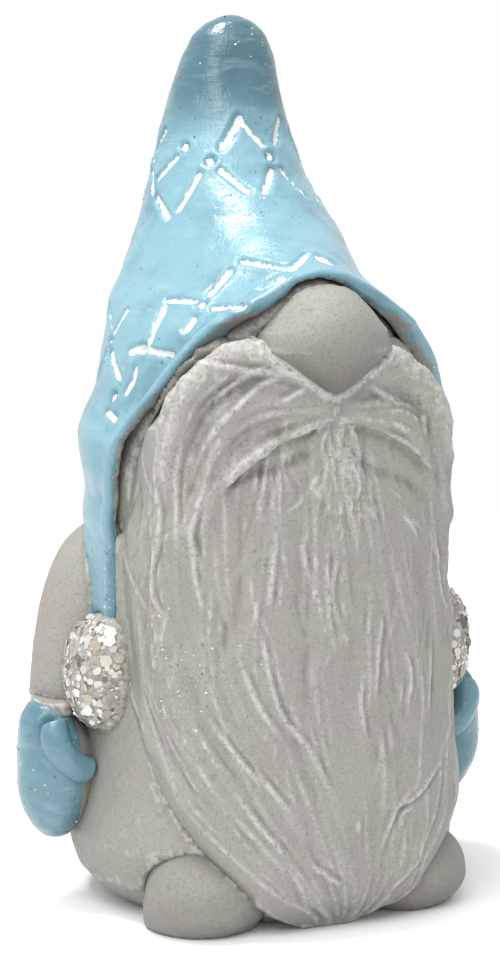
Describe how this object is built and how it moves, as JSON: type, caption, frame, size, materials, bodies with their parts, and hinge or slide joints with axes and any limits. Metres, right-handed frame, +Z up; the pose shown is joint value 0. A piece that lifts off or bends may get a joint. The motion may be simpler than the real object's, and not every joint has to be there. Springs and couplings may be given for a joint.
{
  "type": "garden gnome ornament",
  "caption": "Small cement garden gnome with a tall pointed hat, ear flaps with glitter pompoms, a full beard, mittens and round boots, standing on a flat base.",
  "frame": {"origin": "middle of the flat base that the gnome stands on", "axes": "+Z up, the gnome faces -Y and its left hand is on +X"},
  "size_m": [0.116, 0.088, 0.2],
  "materials": {
    "cement": "cast cement, unpainted, matt with fine pits",
    "blue_paint": "sky blue gloss paint brushed on cement, with off-white filled strokes",
    "glitter": "chunky iridescent glitter flakes glued over cement"
  },
  "bodies": {
    "root": {"coat": "cement", "head": "cement", "hat": "blue_paint", "ear_flap_left": "blue_paint", "ear_flap_right": "blue_paint", "pompom_left": "glitter", "pompom_right": "glitter", "nose": "cement", "moustache_left": "cement", "moustache_right": "cement", "lip_tuft": "cement", "beard": "cement", "sleeve_left": "cement", "sleeve_right": "cement", "cuff_left": "cement", "cuff_right": "cement", "mitten_left": "blue_paint", "mitten_right": "blue_paint", "thumb_left": "blue_paint", "thumb_right": "blue_paint", "foot_left": "cement", "foot_right": "cement"}
  },
  "joints": []
}
